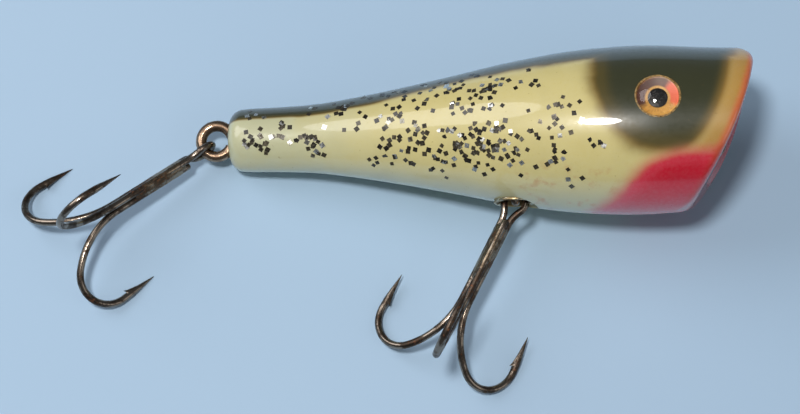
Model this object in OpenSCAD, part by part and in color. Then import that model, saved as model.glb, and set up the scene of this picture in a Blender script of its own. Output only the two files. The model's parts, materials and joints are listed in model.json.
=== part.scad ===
// Topwater popper: a turned wooden lure with a slanted, cupped mouth and two treble hooks.
// The lure's own frame has its origin on the axis at the tail face, +X to the nose,
// +Y to the back and +Z out of the right flank. The whole lure lies on its left side.

/* [Body] */
// Length from the tail face to the tip of the top lip
body_len = 76.2; // [74:0.1:79]
// Largest radius of the turned body
body_r = 12.24; // [12:0.02:12.6]
// Radius of the tail end
tail_r = 4.6; // [4.4:0.05:4.9]
// Radius of the rounded corner at the tail
tail_corner_r = 2.2; // [1.5:0.1:2.4]
// Angle between the mouth face and a square cut
mouth_slope = 22.5; // [18:0.1:28]
// How far the mouth's face stands out in the middle
mouth_bulge = 1.6; // [1.2:0.1:2]
// Radius of the cupped mouth at the lip
mouth_r = 10.3; // [9:0.1:10.5]
// Depth of the cupped mouth
mouth_depth = 3.2; // [2:0.1:4]

/* [Eyes] */
// Distance of the eyes from the tail face
eye_x = 62.2; // [61:0.1:65]
// Angle of the eyes towards the back
eye_angle = 5.5; // [0:0.5:15]
// Shift of the eyes towards the back
eye_lift = 1.3; // [0:0.1:2.4]
// Diameter of the glass
eye_d = 5.9; // [5:0.1:6.4]
// Diameter of the drilled eye socket
socket_d = 6.5; // [6.2:0.1:7]
// Diameter of the pupil
pupil_d = 2.4; // [1.6:0.1:3]

/* [Hangers] */
// Wire diameter of the tail screw eye
tail_wire_d = 1.6; // [1.4:0.05:1.7]
// Mean radius of the tail screw eye's ring
tail_ring_r = 2.3; // [2.2:0.05:2.5]
// Wire diameter of the belly screw eye and the line tie
small_wire_d = 1.3; // [1.1:0.05:1.4]
// Distance of the belly hanger from the tail face
belly_x = 41.7; // [39:0.1:43]
// Outside diameter of the belly cup's flange
cup_flange_d = 6.4; // [6.2:0.1:6.8]
// Inside diameter of the belly cup
cup_bore_d = 5.2; // [5.1:0.05:5.4]

/* [Treble hooks] */
// Wire diameter of the hooks
hook_wire_d = 1.05; // [0.9:0.05:1.1]
// Straight length of the shank from the middle of the eye
shank_len = 15.6; // [13:0.1:17]
// Radius of the first, wide part of the bend
wide_bend_r = 11.8; // [10:0.1:13]
// Turn of the wide part of the bend
wide_bend_turn = 53; // [48:1:60]
// Radius of the second, tight part of the bend
tight_bend_r = 4.3; // [3.8:0.05:4.6]
// Turn of the tight part of the bend
tight_bend_turn = 131; // [120:1:134]
// Straight length of the point arm
point_len = 5.5; // [5:0.1:7]
// Heading of the tail treble's shank, anticlockwise from the nose
tail_heading = 217; // [205:0.5:225]
// Rise of the tail treble's shank out of the lure's flank plane
tail_rise = 20.2; // [14:0.1:24]
// Roll of the tail treble, measured at its single hook
tail_roll = -29.1; // [-40:0.1:-20]
// Heading of the belly treble's shank, anticlockwise from the nose
belly_heading = 243; // [230:0.5:255]
// Rise of the belly treble's shank out of the lure's flank plane
belly_rise = 4.1; // [-4:0.1:12]
// Roll of the belly treble, measured at its single hook
belly_roll = 85.7; // [70:0.1:100]

/* [Hidden] */
$fn = 48;

// Whole lure on its side: the flank rests on the head and on the tail end
lie_pitch = 8.5;
lie_roll = 7.5;
axis_height_at_tail = 4.25;
origin_x = 22.96;
origin_y = -12.18;

// Outline of the turned body: station along the axis and radius, each as a share of the largest
body_stations = [
    [0.04, 0.381], [0.165, 0.413], [0.29, 0.530], [0.415, 0.682], [0.54, 0.845],
    [0.665, 0.962], [0.79, 1.0], [0.915, 0.957], [1.04, 0.925]
];
steps_per_station = 8;
mouth_x = body_len - 4.4;
dish_r = (mouth_r * mouth_r + mouth_depth * mouth_depth) / (2 * mouth_depth);

// Side view of the mouth: one wide arc, rounded into the top lip and the chin
face_r = 72 / mouth_bulge + mouth_bulge / 2;
face_middle = [
    mouth_x - (face_r - mouth_bulge) * cos(mouth_slope),
    (face_r - mouth_bulge) * sin(mouth_slope)
];
lip_corner_r = 2.9;
lip_line = body_r - 0.74;
chin_corner_r = 4;
chin_line = 0.14 - body_r;

// Eyes: heights are measured from the lure's axis
eye_dome_r = 5;
eye_dome_middle = 7.5;
eye_back_h = 10.2;
iris_thick = 0.25;
pupil_thick = 0.25;
socket_floor_h = 9;
bedding_top_h = 11.7;
stem_d = 0.8;
stem_end_h = 3;

// Screw eyes
tail_ring_x = -2.05;
thread_pitch = 0.8;
thread_depth = 0.22;
pocket_gap = 0.05;
belly_ring_r = 1.75;
belly_pivot_h = 10;
belly_ring_h = belly_pivot_h - belly_ring_r;
cup_wall = 0.35;
cup_top_h = 10.3;
cup_depth = 4.4;
tie_ring_r = 1.9;
tie_sink = 1.2;
tie_drop = 2.8;

// Treble hooks: three wires brazed round one axis
wire_r = hook_wire_d / 2;
wire_offset = 1.22 * wire_r;
hook_eye_r = 1.55;
hook_eye_open = 60;
single_start = 3.2;
pair_start = 3.4;
braze_start = 3.6;
braze_end = 12;
braze_r = 1.8 * wire_r;
wire_sides = 12;
bend_step = 6;
end_turn = wide_bend_turn + tight_bend_turn;

// Point arm: distance behind the point, radius, and rise of the barb on its inner side
point_stations = [
    [5.06, wire_r, 0], [5, wire_r, 0.43], [4.4, wire_r, 0.27], [2.8, 0.37, 0], [0, 0.06, 0]
];
tail_eye_reach = tail_ring_r + 0.12;
belly_eye_reach = 0.25;

function catmull(p0, p1, p2, p3, t) = 0.5 * (2 * p1 + (p2 - p0) * t
    + (2 * p0 - 5 * p1 + 4 * p2 - p3) * t * t + (3 * p1 - p0 - 3 * p2 + p3) * t * t * t);

function station(i) = [
    body_stations[i][1] * body_r, body_stations[i][0] * body_len
];

last_station = len(body_stations) - 1;

function smooth_outline() = [
    for (i = [0 : last_station - 1], s = [0 : steps_per_station - 1])
        catmull(
            station(max(i - 1, 0)), station(i), station(i + 1), station(min(i + 2, last_station)),
            s / steps_per_station)
];

function tail_corner() = [
    for (turn = [0 : 15 : 90])
        [
            tail_r - tail_corner_r + tail_corner_r * sin(turn),
            tail_corner_r - tail_corner_r * cos(turn)
        ]
];

module on_side() {
    translate([-origin_x, -origin_y, axis_height_at_tail])
        rotate([0, -lie_pitch, 0])
            rotate([lie_roll, 0, 0])
                children();
}

module along_x() {
    rotate([0, 90, 0]) children();
}

// Local +Z points out of the eye, from the lure's axis
module at_eye(side) {
    mirror([0, 0, side < 0 ? 1 : 0])
        translate([eye_x, 0, 0])
            rotate([-eye_angle, 0, 0])
                translate([0, eye_lift, 0])
                    children();
}

// Local +Z points out of the belly, from the lure's axis
module at_belly() {
    translate([belly_x, 0, 0])
        rotate([90, 0, 0])
            children();
}

// Local +X points out of the mouth, from the middle of its face
module at_mouth() {
    translate([mouth_x, 0, 0])
        rotate([0, 0, -mouth_slope])
            children();
}

module rod(length, radius) {
    cylinder(h = length, r = radius);
}

module ring(mean_r, section_r) {
    rotate_extrude()
        translate([mean_r, 0])
            circle(r = section_r, $fn = 24);
}

// Screw shank along +Z, with its ridges standing to the wire's own radius
module screw_shank(radius, plain_len, ridges) {
    core_r = radius - thread_depth;
    thread_end = plain_len + ridges * thread_pitch;
    outline = concat(
        [[0, 0], [radius, 0]],
        [
            for (i = [0 : ridges - 1], half = [0 : 1])
                [half == 0 ? radius : core_r, plain_len + (i + half / 2) * thread_pitch]
        ],
        [[core_r, thread_end], [0, thread_end + 3 * core_r]]
    );
    rotate_extrude($fn = 32) polygon(outline);
}

module turned_blank() {
    blank_len = body_stations[last_station][0] * body_len;
    outline = concat([[0, 0]], tail_corner(), smooth_outline(), [[0, blank_len]]);
    along_x()
        rotate_extrude($fn = 96)
            polygon(outline);
}

// Middle of a corner arc that touches the mouth's arc from inside and a level line at height y
function corner_middle(y, r, way) = [
    face_middle.x + sqrt(pow(face_r - r, 2) - pow(y - way * r - face_middle.y, 2)),
    y - way * r
];

// Points of an arc, both ends included
function arc_points(middle, r, from, to, steps) = [
    for (i = [0 : steps])
        let (turn = from + (to - from) * i / steps)
        middle + r * [cos(turn), sin(turn)]
];

function side_outline() =
    let (
        lip = corner_middle(lip_line, lip_corner_r, 1),
        chin = corner_middle(chin_line, chin_corner_r, -1),
        lip_turn = atan2(lip.y - face_middle.y, lip.x - face_middle.x),
        chin_turn = atan2(chin.y - face_middle.y, chin.x - face_middle.x)
    )
    concat(
        [[-5, 20], [lip.x, 20]],
        arc_points(lip, lip_corner_r, 90, lip_turn, 8),
        arc_points(face_middle, face_r, lip_turn, chin_turn, 24),
        arc_points(chin, chin_corner_r, chin_turn, -90, 8),
        [[chin.x, -20], [-5, -20]]
    );

module sawn_blank() {
    intersection() {
        turned_blank();
        translate([0, 0, -20])
            linear_extrude(height = 40)
                polygon(side_outline());
    }
}

module wood_body() {
    color([0.88, 0.82, 0.56])
        on_side()
            difference() {
                sawn_blank();
                at_mouth() mouth_dish();
                for (side = [-1, 1]) at_eye(side) eye_drilling();
                at_belly() belly_drilling();
                tail_drilling();
                at_mouth() tie_drilling();
            }
}

module mouth_dish() {
    translate([dish_r - mouth_depth + mouth_bulge, 0, 0])
        sphere(r = dish_r, $fn = 96);
}

module eye_drilling() {
    translate([0, 0, socket_floor_h]) rod(10, socket_d / 2);
    translate([0, 0, stem_end_h]) rod(10, stem_d / 2);
}

module belly_drilling() {
    translate([0, 0, cup_top_h - cup_depth - cup_wall]) rod(10, cup_bore_d / 2 + cup_wall);
    translate([0, 0, cup_top_h - cup_wall]) rod(5, cup_flange_d / 2);
    translate([0, 0, -4.5]) rod(12, small_wire_d / 2);
}

module tail_drilling() {
    translate([tail_ring_x, 0, -tail_wire_d / 2 - pocket_gap])
        rod(tail_wire_d + 2 * pocket_gap, tail_ring_r + tail_wire_d / 2 + pocket_gap);
    along_x() rod(13, tail_wire_d / 2);
}

module tie_drilling() {
    translate([-tie_sink, -tie_drop, -small_wire_d / 2 - pocket_gap])
        rod(small_wire_d + 2 * pocket_gap, tie_ring_r + small_wire_d / 2 + pocket_gap);
    translate([-14, -tie_drop, 0])
        along_x() rod(13, small_wire_d / 2);
}

module line_tie() {
    color([0.55, 0.42, 0.25])
        on_side()
            at_mouth()
                translate([-tie_sink, -tie_drop, 0]) {
                    ring(tie_ring_r, small_wire_d / 2);
                    translate([-tie_ring_r, 0, 0])
                        rotate([0, -90, 0])
                            screw_shank(small_wire_d / 2, 1.2, 9);
                }
}

module tail_screw_eye() {
    color([0.62, 0.46, 0.26])
        on_side()
            translate([tail_ring_x, 0, 0]) {
                ring(tail_ring_r, tail_wire_d / 2);
                translate([tail_ring_r, 0, 0])
                    along_x() screw_shank(tail_wire_d / 2, 1.6, 11);
            }
}

module belly_cup() {
    inner_floor = cup_top_h - cup_depth;
    color([0.66, 0.6, 0.48])
        on_side()
            at_belly()
                difference() {
                    union() {
                        translate([0, 0, inner_floor - cup_wall])
                            rod(cup_depth + cup_wall, cup_bore_d / 2 + cup_wall);
                        translate([0, 0, cup_top_h - cup_wall])
                            rod(cup_wall, cup_flange_d / 2);
                    }
                    translate([0, 0, inner_floor]) rod(10, cup_bore_d / 2);
                    translate([0, 0, inner_floor - 1]) rod(3, small_wire_d / 2 + 0.02);
                }
}

module belly_screw_eye() {
    color([0.55, 0.42, 0.25])
        on_side()
            at_belly()
                translate([0, 0, belly_ring_h]) {
                    rotate([0, 90, 0])
                        ring(belly_ring_r, small_wire_d / 2);
                    translate([0, 0, -belly_ring_r])
                        rotate([180, 0, 0])
                            screw_shank(small_wire_d / 2, 1.6, 10);
                }
}

module eye_glass(side) {
    color([0.9, 0.75, 0.4, 0.5])
        on_side()
            at_eye(side)
                difference() {
                    intersection() {
                        translate([0, 0, eye_back_h]) rod(5, eye_d / 2);
                        translate([0, 0, eye_dome_middle]) sphere(r = eye_dome_r, $fn = 96);
                    }
                    translate([0, 0, eye_back_h - 1]) rod(1 + pupil_thick, pupil_d / 2);
                }
}

module eye_iris(side) {
    color([0.85, 0.6, 0.2])
        on_side()
            at_eye(side)
                translate([0, 0, eye_back_h - iris_thick])
                    rod(iris_thick, eye_d / 2);
}

module eye_pupil(side) {
    color([0.04, 0.03, 0.03])
        on_side()
            at_eye(side)
                translate([0, 0, eye_back_h])
                    rod(pupil_thick, pupil_d / 2);
}

module eye_stem(side) {
    color([0.5, 0.5, 0.5])
        on_side()
            at_eye(side)
                translate([0, 0, stem_end_h])
                    rod(eye_back_h - iris_thick - stem_end_h, stem_d / 2);
}

module eye_bedding(side) {
    color([0.8, 0.7, 0.4])
        on_side()
            at_eye(side)
                difference() {
                    translate([0, 0, socket_floor_h])
                        rod(bedding_top_h - socket_floor_h, socket_d / 2);
                    translate([0, 0, eye_back_h - iris_thick]) rod(5, eye_d / 2);
                    translate([0, 0, socket_floor_h - 1]) rod(5, stem_d / 2);
                }
}

// Wire stations are [middle, direction along the wire, inner side, radius, rise of the barb]
function bend_place(turn) = turn <= wide_bend_turn
    ? [shank_len + wide_bend_r * sin(turn), wide_bend_r * (1 - cos(turn))]
    : [
        shank_len + (wide_bend_r - tight_bend_r) * sin(wide_bend_turn) + tight_bend_r * sin(turn),
        wide_bend_r - (wide_bend_r - tight_bend_r) * cos(wide_bend_turn) - tight_bend_r * cos(turn)
    ];

function hook_station(place, turn, radius, rise) = [
    [place.x, wire_offset + place.y, 0],
    [cos(turn), sin(turn), 0], [-sin(turn), cos(turn), 0],
    radius, rise
];

// One hook in the XY plane: down the shank along +X, round the bend towards +Y, to the point
function hook_stations(start) = concat(
    [hook_station([start, 0], 0, wire_r, 0)],
    [for (turn = [0 : bend_step : wide_bend_turn]) hook_station(bend_place(turn), turn, wire_r, 0)],
    [
        for (turn = [wide_bend_turn : bend_step : end_turn - bend_step / 2])
            hook_station(bend_place(turn), turn, wire_r, 0)
    ],
    [
        for (s = point_stations)
            hook_station(
                bend_place(end_turn) + (point_len - s[0]) * [cos(end_turn), sin(end_turn)],
                end_turn, s[1], s[2])
    ]
);

function about_x(turn, v) = [
    v.x, v.y * cos(turn) - v.z * sin(turn), v.y * sin(turn) + v.z * cos(turn)
];

function turned(turn, stations) = [
    for (s = stations) [about_x(turn, s[0]), about_x(turn, s[1]), about_x(turn, s[2]), s[3], s[4]]
];

function reversed(stations) = [
    for (i = [len(stations) - 1 : -1 : 0])
        [stations[i][0], -stations[i][1], stations[i][2], stations[i][3], stations[i][4]]
];

// The pair's wire round its eye, in a plane that holds the X axis
function eye_loop(plane) = [
    for (i = [0 : 20])
        let (
            open = hook_eye_open + i * (360 - 2 * hook_eye_open) / 20,
            out = about_x(plane, [cos(open), sin(open), 0])
        )
        [hook_eye_r * out, about_x(plane, [-sin(open), cos(open), 0]), out, wire_r, 0]
];

// Smooth stretch of wire between two stations
function blend(from, to, pull) = [
    for (i = [1 : 5])
        let (
            t = i / 6,
            p1 = from[0] + pull * from[1],
            p2 = to[0] - pull * to[1],
            middle = pow(1 - t, 3) * from[0] + 3 * t * pow(1 - t, 2) * p1
                + 3 * t * t * (1 - t) * p2 + pow(t, 3) * to[0],
            slope = pow(1 - t, 2) * (p1 - from[0]) + 2 * t * (1 - t) * (p2 - p1) + t * t * (to[0] - p2),
            along = slope / norm(slope),
            side = (1 - t) * from[2] + t * to[2],
            square = side - along * (along * side)
        )
        [middle, along, square / norm(square), wire_r, 0]
];

module swept_wire(stations) {
    last = len(stations) - 1;
    n = wire_sides;
    points = [
        for (s = stations, k = [0 : n - 1])
            s[0] + (s[3] + (k == 0 ? s[4] : 0))
                * (cos(k * 360 / n) * s[2] + sin(k * 360 / n) * cross(s[1], s[2]))
    ];
    flanks = [
        for (i = [0 : last - 1], k = [0 : n - 1], half = [0, 1])
            half == 0
                ? [i * n + n + k, i * n + n + (k + 1) % n, i * n + k]
                : [i * n + n + (k + 1) % n, i * n + (k + 1) % n, i * n + k]
    ];
    start_face = [[for (k = [0 : n - 1]) k]];
    end_face = [[for (k = [n - 1 : -1 : 0]) last * n + k]];
    polyhedron(points, concat(start_face, flanks, end_face));
}

// Treble frame: origin in the middle of the eye, +X down the shank, single hook towards +Y
module single_hook() {
    cut_end = hook_station([single_start - 0.2, 0], 0, 0.6 * wire_r, 0);
    swept_wire(concat([cut_end], hook_stations(single_start)));
}

// The pair is one wire; its eye is turned by eye_turn, to lie square to the ring it hangs on
module double_hook(eye_turn) {
    first = reversed(turned(120, hook_stations(pair_start)));
    second = turned(240, hook_stations(pair_start));
    loop = eye_loop(90 + eye_turn);
    swept_wire(concat(
        first,
        blend(first[len(first) - 1], loop[0], 1),
        loop,
        blend(loop[len(loop) - 1], second[0], 1),
        second
    ));
}

module braze() {
    difference() {
        union() {
            translate([braze_start, 0, 0])
                along_x() rod(braze_end - braze_start, braze_r);
            translate([braze_end, 0, 0])
                along_x() cylinder(h = 1.5, r1 = braze_r, r2 = 0.3);
        }
        for (turn = [0, 120, 240])
            rotate([turn, 0, 0])
                translate([0, wire_offset, 0])
                    along_x() rod(20, wire_r);
    }
}

module at_tail_treble() {
    on_side()
        translate([tail_ring_x, 0, 0])
            rotate([0, 0, tail_heading])
                translate([tail_eye_reach, 0, 0])
                    rotate([0, -tail_rise, 0])
                        rotate([tail_roll, 0, 0])
                            children();
}

module at_belly_treble() {
    on_side()
        translate([belly_x, -belly_pivot_h, 0])
            rotate([0, 0, belly_heading])
                translate([belly_eye_reach, 0, 0])
                    rotate([0, -belly_rise, 0])
                        rotate([belly_roll, 0, 0])
                            children();
}

module tail_single_hook() {
    color([0.42, 0.36, 0.3]) at_tail_treble() single_hook();
}

module tail_double_hook() {
    color([0.45, 0.39, 0.32]) at_tail_treble() double_hook(-tail_roll);
}

module tail_braze() {
    color([0.55, 0.45, 0.3]) at_tail_treble() braze();
}

module belly_single_hook() {
    color([0.42, 0.36, 0.3]) at_belly_treble() single_hook();
}

module belly_double_hook() {
    color([0.45, 0.39, 0.32]) at_belly_treble() double_hook(90 - belly_roll);
}

module belly_braze() {
    color([0.55, 0.45, 0.3]) at_belly_treble() braze();
}

wood_body();
line_tie();
tail_screw_eye();
belly_cup();
belly_screw_eye();
eye_glass(1);  // right_eye_glass
eye_iris(1);  // right_eye_iris
eye_pupil(1);  // right_eye_pupil
eye_stem(1);  // right_eye_stem
eye_bedding(1);  // right_eye_bedding
eye_glass(-1);  // left_eye_glass
eye_iris(-1);  // left_eye_iris
eye_pupil(-1);  // left_eye_pupil
eye_stem(-1);  // left_eye_stem
eye_bedding(-1);  // left_eye_bedding
tail_single_hook();
tail_double_hook();
tail_braze();
belly_single_hook();
belly_double_hook();
belly_braze();
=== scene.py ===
import json
import math
import random

import bmesh
import bpy
from mathutils import Matrix, Vector, noise


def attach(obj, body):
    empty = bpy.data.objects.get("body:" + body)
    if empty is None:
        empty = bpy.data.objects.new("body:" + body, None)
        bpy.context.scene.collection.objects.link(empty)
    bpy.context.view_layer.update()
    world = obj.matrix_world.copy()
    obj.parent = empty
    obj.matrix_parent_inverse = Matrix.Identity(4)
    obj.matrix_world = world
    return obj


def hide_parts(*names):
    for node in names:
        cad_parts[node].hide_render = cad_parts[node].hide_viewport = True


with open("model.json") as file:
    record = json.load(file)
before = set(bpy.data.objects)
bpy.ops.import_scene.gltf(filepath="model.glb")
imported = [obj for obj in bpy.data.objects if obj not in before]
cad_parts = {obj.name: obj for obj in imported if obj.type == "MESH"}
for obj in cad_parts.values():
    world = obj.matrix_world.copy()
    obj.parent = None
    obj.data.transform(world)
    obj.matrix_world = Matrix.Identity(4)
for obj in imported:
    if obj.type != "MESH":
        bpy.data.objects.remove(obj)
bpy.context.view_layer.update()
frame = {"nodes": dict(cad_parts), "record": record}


# ---- How the lure lies
# The tail ring's hinge runs through the ring, square to the lure's middle plane, so it gives
# both the lure's place and its turn. The lure is rolled a little, its belly nearer the table.
TAIL_RING_X = -2.05

joints = {j["name"]: j for j in frame["record"]["behaviour"]["joints"]}
flank_way = Vector(joints["tail_swing"]["axis"]).normalized()
nose_way = Vector((0, 1, 0)).cross(flank_way).normalized()
back_way = flank_way.cross(nose_way)
tail_face = Vector(joints["tail_swing"]["pos_m"]) - nose_way * TAIL_RING_X / 1000
lie = Matrix.Translation(tail_face) @ Matrix((nose_way, back_way, flank_way)).transposed().to_4x4()
lay_down = lie @ Matrix.Scale(0.001, 4)


# ---- Wooden body
# One blank of hardwood, turned on a lathe, its mouth sawn at a slant, rounded off and dished.
# Drilled for the eyes, the belly cup and the screw eyes, then sprayed and dipped in clear lacquer.
BODY_LEN = 76.2
BODY_R = 12.24
TAIL_R = 4.6
TAIL_CORNER_R = 2.2
MOUTH_X = BODY_LEN - 4.4
MOUTH_SLOPE = math.radians(22.5)
MOUTH_BULGE = 1.6
MOUTH_R = 10.3
MOUTH_DEPTH = 3.2
RIM_ROUND = 0.95
LIP_LINE, LIP_ROUND = BODY_R - 0.74, 2.9
CHIN_LINE, CHIN_ROUND = 0.14 - BODY_R, 4.0
TURNED_STATIONS = [
    (0.04, 0.381), (0.165, 0.413), (0.29, 0.530), (0.415, 0.682), (0.54, 0.845),
    (0.665, 0.962), (0.79, 1.0), (0.915, 0.957), (1.04, 0.925),
]
SKEW_FROM = 36.0
FACE_R = 72 / MOUTH_BULGE + MOUTH_BULGE / 2
FACE_MIDDLE = (MOUTH_X - (FACE_R - MOUTH_BULGE) * math.cos(MOUTH_SLOPE),
               (FACE_R - MOUTH_BULGE) * math.sin(MOUTH_SLOPE))


def turned_outline():
    """Points (along the axis, radius) of the blank, from the middle of the tail face forward."""
    line = [(0.0, 0.0), (0.0, 1.2)]
    for i in range(13):
        turn = math.pi / 2 * i / 12
        line.append((TAIL_CORNER_R * (1 - math.cos(turn)),
                     TAIL_R - TAIL_CORNER_R * (1 - math.sin(turn))))
    knots = [Vector((a * BODY_LEN, r * BODY_R)) for a, r in TURNED_STATIONS]
    for i in range(len(knots) - 1):
        p0, p1 = knots[max(i - 1, 0)], knots[i]
        p2, p3 = knots[i + 1], knots[min(i + 2, len(knots) - 1)]
        for k in range(16):
            t = k / 16
            p = 0.5 * (2 * p1 + (p2 - p0) * t + (2 * p0 - 5 * p1 + 4 * p2 - p3) * t * t
                       + (3 * p1 - p0 - 3 * p2 + p3) * t ** 3)
            line.append((p.x, p.y))
    line.append((knots[-1].x, knots[-1].y))
    return line


outline = turned_outline()


def body_radius(x):
    for (xa, ra), (xb, rb) in zip(outline[1:], outline[2:]):
        if xa <= x <= xb and xb > xa:
            return ra + (rb - ra) * (x - xa) / (xb - xa)
    return outline[-1][1]


def finished(bm, name, place, finish, body, nodes=(), sharp_over=35.0):
    """Turns a shaped bmesh into a piece: laid down, shaded, painted and riding on its body."""
    bmesh.ops.remove_doubles(bm, verts=bm.verts, dist=1e-4)
    bmesh.ops.transform(bm, matrix=lay_down @ place, verts=bm.verts)
    bmesh.ops.recalc_face_normals(bm, faces=bm.faces)
    for face in bm.faces:
        face.smooth = True
    mesh = bpy.data.meshes.new(name)
    bm.to_mesh(mesh)
    bm.free()
    mesh.set_sharp_from_angle(angle=math.radians(sharp_over))
    piece = bpy.data.objects.new(name, mesh)
    bpy.context.scene.collection.objects.link(piece)
    mesh.materials.append(finish)
    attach(piece, body)
    if nodes:
        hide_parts(*nodes)
    return piece


def shade(r, g, b):
    """A paint shade, given from 0 to 255, as the linear colour that a socket takes."""
    return tuple(((c / 255 + 0.055) / 1.055) ** 2.4 if c > 10 else c / 3294.6
                 for c in (r, g, b)) + (1.0,)


def add(tree, kind, sockets=None, **settings):
    made = tree.nodes.new(kind)
    for key, value in settings.items():
        setattr(made, key, value)
    for key, value in (sockets or {}).items():
        if isinstance(value, bpy.types.NodeSocket):
            tree.links.new(value, made.inputs[key])
        else:
            made.inputs[key].default_value = value
    return made


def maths(tree, operation, *values, clamp=False):
    made = add(tree, "ShaderNodeMath", dict(enumerate(values)), operation=operation)
    made.use_clamp = clamp
    return made.outputs[0]


def fade(tree, value, low, high, start=0.0, end=1.0):
    """A soft step from start to end while value goes from low to high."""
    made = add(tree, "ShaderNodeMapRange", {"Value": value, "From Min": low, "From Max": high,
                                            "To Min": start, "To Max": end},
               interpolation_type="SMOOTHSTEP")
    return made.outputs["Result"]


def tint(tree, amount, under, over):
    made = add(tree, "ShaderNodeMix", {0: amount, 6: under, 7: over}, data_type="RGBA")
    return made.outputs[2]


def ramp(tree, value, stops):
    made = add(tree, "ShaderNodeValToRGB", {"Fac": value})
    bar = made.color_ramp
    bar.interpolation = "EASE"
    while len(bar.elements) < len(stops):
        bar.elements.new(1.0)
    for element, (at, colour) in zip(bar.elements, stops):
        element.position = at
        element.color = colour
    return made.outputs["Color"]


def cloud(tree, place, scale, detail=2.0, roughness=0.5, distortion=0.0):
    made = add(tree, "ShaderNodeTexNoise", {"Vector": place, "Scale": scale, "Detail": detail,
                                            "Roughness": roughness, "Distortion": distortion})
    return made.outputs["Fac"]


def lure_place(tree, home=None):
    """Where a point is on the lure, in millimetres, or round another home on it."""
    middle, turn, _ = (lay_down @ home if home else lay_down).decompose()
    made = add(tree, "ShaderNodeMapping", {
        "Vector": add(tree, "ShaderNodeTexCoord").outputs["Object"],
        "Location": middle, "Rotation": turn.to_euler("XYZ"),
        "Scale": (0.001, 0.001, 0.001)}, vector_type="TEXTURE")
    return made.outputs["Vector"]


def new_finish(name):
    finish = bpy.data.materials.new(name)
    finish.use_nodes = True
    tree = finish.node_tree
    shader = tree.nodes["Principled BSDF"]
    return finish, tree, shader


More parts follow.
